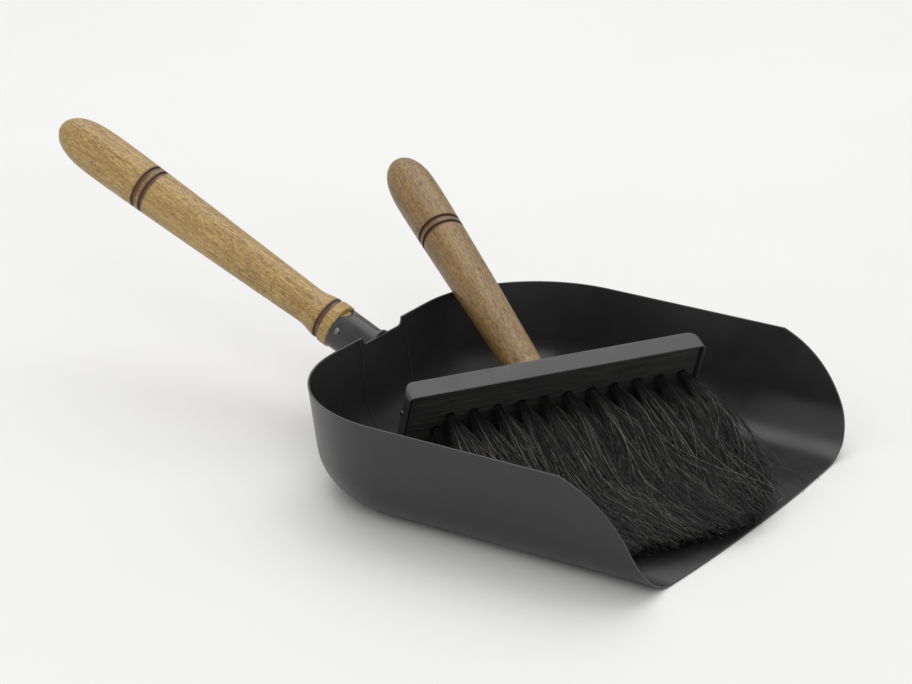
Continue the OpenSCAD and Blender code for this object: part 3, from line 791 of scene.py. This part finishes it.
class DUSTPAN_PG_bristles(bpy.types.PropertyGroup):
    """Sizes of the brush's tufts"""
    tufts: IntProperty(name="Tufts", description="Tufts in each row", default=11, min=6, max=14)
    strands: IntProperty(name="Strands", description="Strands in each tuft", default=265, min=20,
        max=300)
    points: IntProperty(name="Points", description="Points along a strand", default=11, min=5,
        max=14)
    strand_width: FloatProperty(name="Strand Width",
        description="Thickness of a strand at its root", default=0.40 * MM, min=0.0001, max=0.001,
        unit="LENGTH")
    hole_radius: FloatProperty(name="Hole Radius", description="Radius of a tuft at the block",
        default=3.1 * MM, min=0.001, max=0.004, unit="LENGTH")
    length: FloatProperty(name="Length", description="Length of the bristles", default=128 * MM,
        min=0.08, max=0.16, unit="LENGTH")
    tuft_pitch: FloatProperty(name="Tuft Pitch", description="Between tufts in a row",
        default=14.2 * MM, min=0.01, max=0.02, unit="LENGTH")
    row_pitch: FloatProperty(name="Row Pitch", description="Between rows of tufts",
        default=8 * MM, min=0.005, max=0.01, unit="LENGTH")
    row_drop: FloatProperty(name="Row Drop", description="Rows' middle below the block's middle",
        default=4.5 * MM, min=0.0, max=0.006, unit="LENGTH")
    row_shift: FloatProperty(name="Row Shift",
        description="Rows' middle from the head's middle, to the far end", default=5 * MM,
        min=0.0, max=0.006, unit="LENGTH")
    head_length: FloatProperty(name="Head Length", description="Length of the brush's head",
        default=180 * MM, min=0.15, max=0.2, unit="LENGTH")
    layer: FloatProperty(name="Layer",
        description="Thickness of one row's strands where they lie on the floor",
        default=2.2 * MM, min=0.001, max=0.006, unit="LENGTH")


class DUSTPAN_PG_stage(bpy.types.PropertyGroup):
    """Floor, light and camera"""
    floor_colour: FloatVectorProperty(name="Floor", description="Pale floor", subtype="COLOR",
        size=3, min=0, max=1, default=(0.80, 0.80, 0.79))
    floor_size: FloatProperty(name="Floor Size", description="Side of the floor", default=14.0,
        min=4, max=30, unit="LENGTH")
    sky: FloatProperty(name="Sky", description="Strength of the light from all round",
        default=0.72, min=0, max=3)
    key_power: FloatProperty(name="Key Light", description="Power of the large soft light",
        default=30.0, min=0, max=2000, unit="POWER")
    fill_power: FloatProperty(name="Fill Light",
        description="Power of the light behind the camera", default=13.0, min=0, max=500,
        unit="POWER")
    lens: FloatProperty(name="Lens", description="Focal length", default=126.3, min=20, max=300,
        unit="CAMERA")


# ---- Operators ----

# The stage, in metres: each lamp's place, the point it faces and its side, then the camera
KEY_PLACE, KEY_TARGET, KEY_SIZE = (-0.75, 0.95, 2.3), (0.0, 0.0, 0.0), 2.4
FILL_PLACE, FILL_TARGET, FILL_SIZE = (1.2, -1.6, 1.5), (0.0, 0.0, 0.05), 1.2
CAMERA_PLACE = (0.8135, -1.3629, 0.7037)
CAMERA_TARGET = (-0.0698, 0.0004, 0.0625)
SENSOR_WIDTH = 36.0  # mm, the width that the lens is given for
FARTHEST_SEEN = 100.0
WHITE = (1.0, 1.0, 1.0, 1.0)
# The floor's faint clouds: their scale per metre, and their tone against the rest
CLOUDS, CLOUD_TONE = 3.0, 0.985


class DUSTPAN_OT_coat(bpy.types.Operator):
    """Coats the pan's sheet and the handle's socket"""
    bl_idname = "dustpan.coat"
    bl_label = "Coat the Pan"

    def execute(self, context):
        look = context.scene.dustpan_finishes
        finish_nodes(COATED, coated_sheet(look))
        finish_nodes(SOCKETS, coated_tube())
        return {"FINISHED"}


class DUSTPAN_OT_handles(bpy.types.Operator):
    """Gives both handles their wood, with burnt grooves"""
    bl_idname = "dustpan.handles"
    bl_label = "Wax the Handles"

    def execute(self, context):
        look = context.scene.dustpan_finishes
        for node, wood, way, size, colours in (
                ("pan_handle", "pan_wood", PAN_BUTT_WAY, 1.0, TAN_WOOD),
                ("brush_handle", "brush_wood", BRUSH_BUTT_WAY, look.brush_size, BROWN_WOOD)):
            finish_nodes([node], waxed_wood(wood, node, way, size, colours, look))
        return {"FINISHED"}


class DUSTPAN_OT_head(bpy.types.Operator):
    """Paints the brush's cap, stains its block and leaves its nails and the pins bare"""
    bl_idname = "dustpan.head"
    bl_label = "Finish the Head"

    def execute(self, context):
        look = context.scene.dustpan_finishes
        finish_nodes(["brush_cap"], painted_strip(look))
        finish_nodes(["brush_block"], stained_block())
        finish_nodes(STEEL, drawn_steel())
        return {"FINISHED"}


class DUSTPAN_OT_bristles(bpy.types.Operator):
    """Grows the four rows of tufts"""
    bl_idname = "dustpan.bristles"
    bl_label = "Grow the Bristles"

    def execute(self, context):
        look = context.scene.dustpan_bristles
        hair = black_hair(context.scene.dustpan_finishes)
        tree = bristle_tree()
        middle = head_place()
        level = Matrix.Translation((middle.x, middle.y, 0)) @ Matrix.Rotation(-BRUSH_YAW, 4, "Z")
        for row, node in enumerate(ROWS):
            host = bpy.data.objects.new(f"tuft_holes_{row + 1}", row_host(row, look, middle))
            context.scene.collection.objects.link(host)
            modifier = host.modifiers.new("Tufted Row", "NODES")
            modifier.node_group = tree
            low = LOWEST + (len(ROWS) - 1 - row) * look.layer
            set_inputs(modifier, {
                "Strands": look.strands, "Points": look.points, "Strand Width": look.strand_width,
                "Hole Radius": look.hole_radius, "Tilt": BRUSH_TILT, "Length": look.length,
                "Layer Low": low, "Layer High": low + LAYER_OVERLAP * look.layer,
                "Head X": middle.x, "Head Y": middle.y, "Yaw": BRUSH_YAW,
                "Seed": 100 * (row + 1), "Material": hair})
            tufts = plain_mesh(host, f"bristles_{row + 1}")
            if len(tufts.data.polygons) < FEWEST_FACES:
                raise RuntimeError(f"{tufts.name} grew no strands")
            tufts.data.transform(level)
            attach(tufts, "brush")
            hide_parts(node)
        return {"FINISHED"}


class DUSTPAN_OT_stage(bpy.types.Operator):
    """Lays the floor, and sets the lights and the camera"""
    bl_idname = "dustpan.stage"
    bl_label = "Set the Stage"

    def execute(self, context):
        scene = context.scene
        look = scene.dustpan_stage
        half = look.floor_size / 2
        mesh = bpy.data.meshes.new("floor")
        corners = [(-half, -half, 0), (half, -half, 0), (half, half, 0), (-half, half, 0)]
        mesh.from_pydata(corners, [], [(0, 1, 2, 3)])
        floor = bpy.data.objects.new("floor", mesh)
        scene.collection.objects.link(floor)
        made, tree, shader = new_material("floor")
        shade = ramp(tree, noise(tree, surface_place(tree), CLOUDS), 0.3, 0.7)
        pale = tuple(look.floor_colour)
        tone = mixed(tree, shade, pale, toned(pale, CLOUD_TONE))
        tree.links.new(tone, shader["Base Color"])
        shader["Roughness"].default_value = 0.55
        shader["Specular IOR Level"].default_value = 0.25
        mesh.materials.append(made)

        world = bpy.data.worlds.new("studio")
        world.use_nodes = True
        back = world.node_tree.nodes["Background"]
        back.inputs[0].default_value = WHITE
        back.inputs[1].default_value = look.sky
        scene.world = world
        self.lamp(scene, "key", KEY_PLACE, KEY_TARGET, KEY_SIZE, look.key_power)
        self.lamp(scene, "fill", FILL_PLACE, FILL_TARGET, FILL_SIZE, look.fill_power)

        camera = bpy.data.objects.new("camera", bpy.data.cameras.new("camera"))
        scene.collection.objects.link(camera)
        camera.location = CAMERA_PLACE
        aim = Vector(CAMERA_TARGET) - camera.location
        camera.rotation_euler = aim.to_track_quat("-Z", "Y").to_euler()
        camera.data.lens = look.lens
        camera.data.sensor_width = SENSOR_WIDTH
        camera.data.clip_end = FARTHEST_SEEN
        scene.camera = camera
        scene.view_settings.view_transform = "Standard"
        return {"FINISHED"}

    def lamp(self, scene, name, place, target, size, power):
        """A square soft light that faces a point."""
        light = bpy.data.lights.new(name, "AREA")
        light.size = size
        light.energy = power
        lamp = bpy.data.objects.new(name, light)
        lamp.location = place
        lamp.rotation_euler = (Vector(target) - Vector(place)).to_track_quat("-Z", "Y").to_euler()
        scene.collection.objects.link(lamp)


OPERATORS = (DUSTPAN_OT_coat, DUSTPAN_OT_handles, DUSTPAN_OT_head, DUSTPAN_OT_bristles,
             DUSTPAN_OT_stage)


class DUSTPAN_PT_panel(bpy.types.Panel):
    """The steps and their settings"""
    bl_idname = "DUSTPAN_PT_panel"
    bl_label = "Dustpan and Brush"
    bl_space_type = "VIEW_3D"
    bl_region_type = "UI"
    bl_category = "Dustpan"

    def draw(self, context):
        for kind in OPERATORS:
            self.layout.operator(kind.bl_idname)
        for settings in (context.scene.dustpan_finishes, context.scene.dustpan_bristles,
                         context.scene.dustpan_stage):
            box = self.layout.box()
            for label in settings.__annotations__:
                box.prop(settings, label)


CLASSES = (DUSTPAN_PG_finishes, DUSTPAN_PG_bristles, DUSTPAN_PG_stage, *OPERATORS, DUSTPAN_PT_panel)


def register():
    for kind in CLASSES:
        bpy.utils.register_class(kind)
    bpy.types.Scene.dustpan_finishes = PointerProperty(type=DUSTPAN_PG_finishes)
    bpy.types.Scene.dustpan_bristles = PointerProperty(type=DUSTPAN_PG_bristles)
    bpy.types.Scene.dustpan_stage = PointerProperty(type=DUSTPAN_PG_stage)


def unregister():
    for label in ("dustpan_finishes", "dustpan_bristles", "dustpan_stage"):
        delattr(bpy.types.Scene, label)
    for kind in reversed(CLASSES):
        bpy.utils.unregister_class(kind)


def main():
    """Makes every piece in order."""
    register()
    for kind in OPERATORS:
        group, step = kind.bl_idname.split(".")
        getattr(getattr(bpy.ops, group), step)()


if __name__ == "__main__":
    main()
